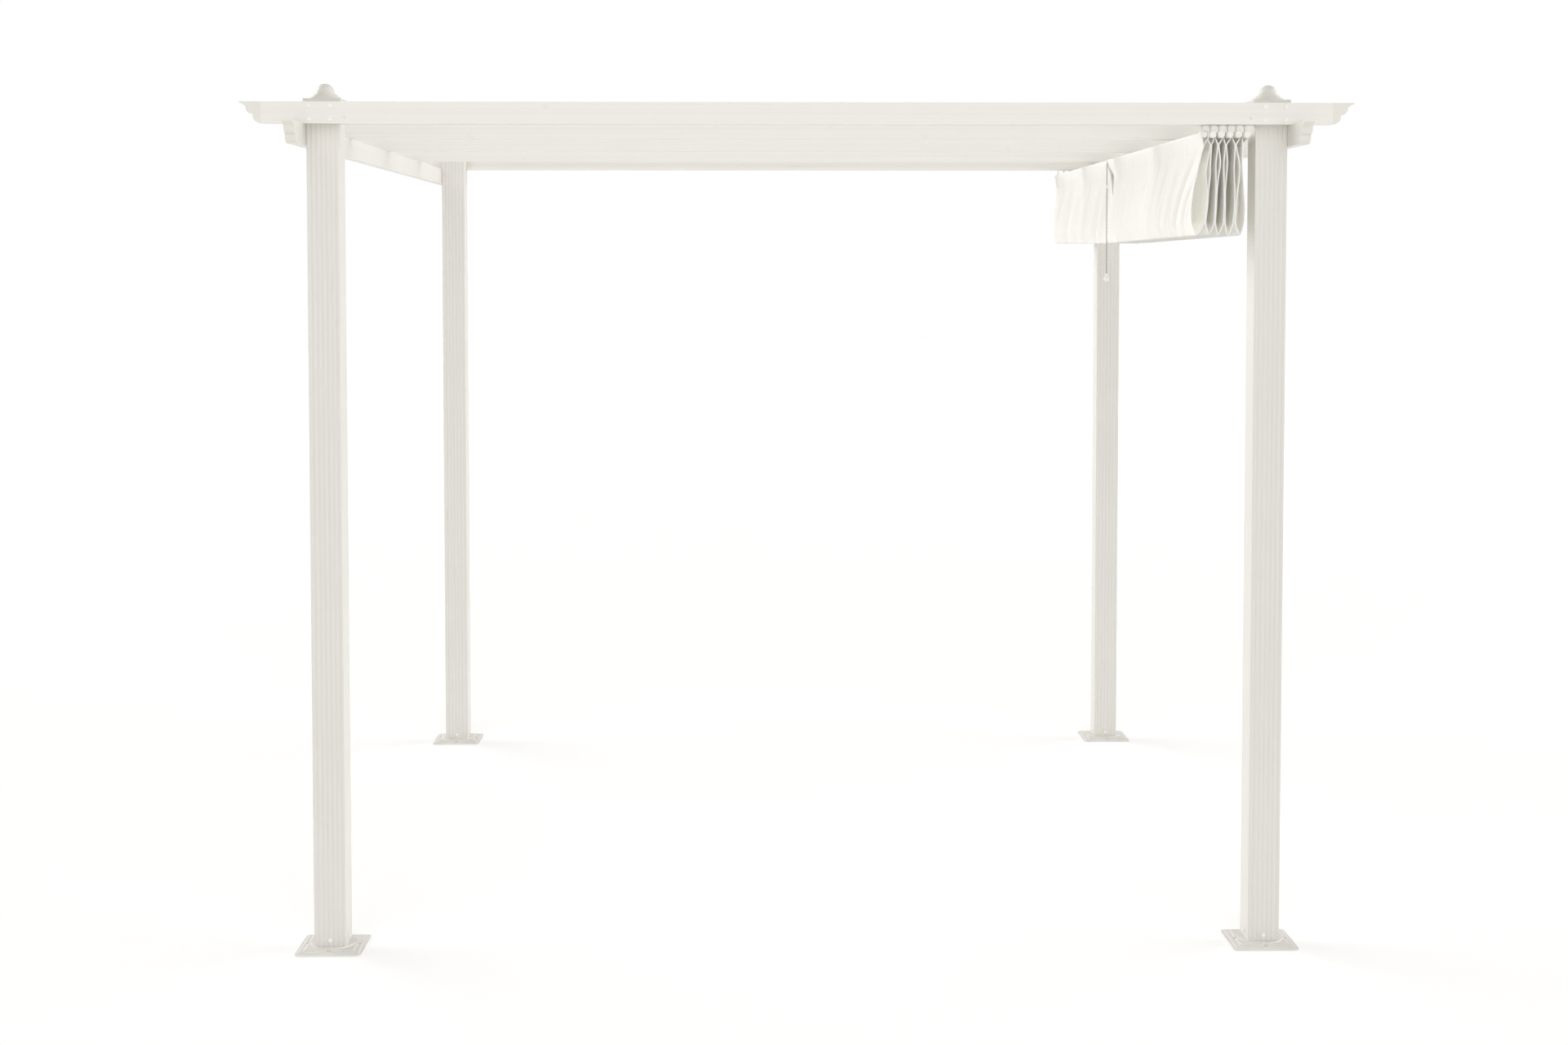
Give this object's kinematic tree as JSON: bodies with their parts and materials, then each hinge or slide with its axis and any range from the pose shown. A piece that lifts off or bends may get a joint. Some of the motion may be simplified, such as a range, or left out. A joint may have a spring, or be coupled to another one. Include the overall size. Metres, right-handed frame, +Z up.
{
  "type": "pergola",
  "caption": "Square garden pergola with fluted posts on anchor plates, scalloped beams and a retractable cloth canopy on sliding rods.",
  "frame": {"origin": "on the ground under the middle of the four posts", "axes": "+X along the rafters from the left posts to the right posts, +Y from the front beam to the back beam, +Z up"},
  "size_m": [3, 3, 2.374],
  "materials": {
    "powder_coat": "satin off-white powder coat",
    "moulded_plastic": "moulded off-white plastic",
    "zinc_fastener": "painted zinc-plated steel",
    "canopy_cloth": "woven polyester, hemmed",
    "cord_braid": "braided grey cord"
  },
  "bodies": {
    "frame": {"post_front_left": "powder_coat", "post_front_right": "powder_coat", "post_back_left": "powder_coat", "post_back_right": "powder_coat", "base_front_left": "powder_coat", "base_front_right": "powder_coat", "base_back_left": "powder_coat", "base_back_right": "powder_coat", "front_beam": "powder_coat", "front_rafter": "powder_coat", "middle_rafter": "powder_coat", "back_rafter": "powder_coat", "back_beam": "powder_coat", "side_beam_left": "powder_coat", "side_beam_right": "powder_coat", "front_rail": "powder_coat", "back_rail": "powder_coat", "rod_6": "powder_coat", "post_cap_front_left": "moulded_plastic", "post_cap_front_right": "moulded_plastic", "post_cap_back_left": "moulded_plastic", "post_cap_back_right": "moulded_plastic", "front_beam_ends": "moulded_plastic", "front_rafter_ends": "moulded_plastic", "middle_rafter_ends": "moulded_plastic", "back_rafter_ends": "moulded_plastic", "back_beam_ends": "moulded_plastic", "side_beam_left_ends": "moulded_plastic", "side_beam_right_ends": "moulded_plastic", "rod_6_knobs": "moulded_plastic", "rod_6_gliders": "moulded_plastic", "cross_beam_bolts": "zinc_fastener", "side_beam_bolts": "zinc_fastener", "rafter_bolts": "zinc_fastener", "nuts": "zinc_fastener", "base_screws": "zinc_fastener", "rail_screws": "zinc_fastener"},
    "carriage_5": {"rod_5": "powder_coat", "rod_5_knobs": "moulded_plastic", "rod_5_gliders": "moulded_plastic", "cloth_bay_5": "canopy_cloth"},
    "carriage_4": {"rod_4": "powder_coat", "rod_4_knobs": "moulded_plastic", "rod_4_gliders": "moulded_plastic", "cloth_bay_4": "canopy_cloth"},
    "carriage_3": {"rod_3": "powder_coat", "rod_3_knobs": "moulded_plastic", "rod_3_gliders": "moulded_plastic", "cloth_bay_3": "canopy_cloth"},
    "carriage_2": {"rod_2": "powder_coat", "rod_2_knobs": "moulded_plastic", "rod_2_gliders": "moulded_plastic", "cloth_bay_2": "canopy_cloth"},
    "carriage_1": {"rod_1": "powder_coat", "rod_1_knobs": "moulded_plastic", "rod_1_gliders": "moulded_plastic", "cord_clip": "moulded_plastic", "pull_cord": "cord_braid", "cord_knob": "moulded_plastic", "cloth_bay_1": "canopy_cloth"}
  },
  "joints": [
    {"name": "bay_5_slide", "type": "slide", "parent": "frame", "child": "carriage_5", "axis": [-1, 0, 0], "range_m": [0, 0.462], "deforming": ["cloth_bay_5"]},
    {"name": "bay_4_slide", "type": "slide", "parent": "carriage_5", "child": "carriage_4", "axis": [-1, 0, 0], "range_m": [0, 0.462], "deforming": ["cloth_bay_4"]},
    {"name": "bay_3_slide", "type": "slide", "parent": "carriage_4", "child": "carriage_3", "axis": [-1, 0, 0], "range_m": [0, 0.462], "deforming": ["cloth_bay_3"]},
    {"name": "bay_2_slide", "type": "slide", "parent": "carriage_3", "child": "carriage_2", "axis": [-1, 0, 0], "range_m": [0, 0.462], "deforming": ["cloth_bay_2"]},
    {"name": "bay_1_slide", "type": "slide", "parent": "carriage_2", "child": "carriage_1", "axis": [-1, 0, 0], "range_m": [0, 0.462], "deforming": ["cloth_bay_1"]}
  ],
  "couplings": [
    {"joint": "bay_4_slide", "follows": "bay_5_slide", "ratio": 1},
    {"joint": "bay_3_slide", "follows": "bay_5_slide", "ratio": 1},
    {"joint": "bay_2_slide", "follows": "bay_5_slide", "ratio": 1},
    {"joint": "bay_1_slide", "follows": "bay_5_slide", "ratio": 1}
  ]
}
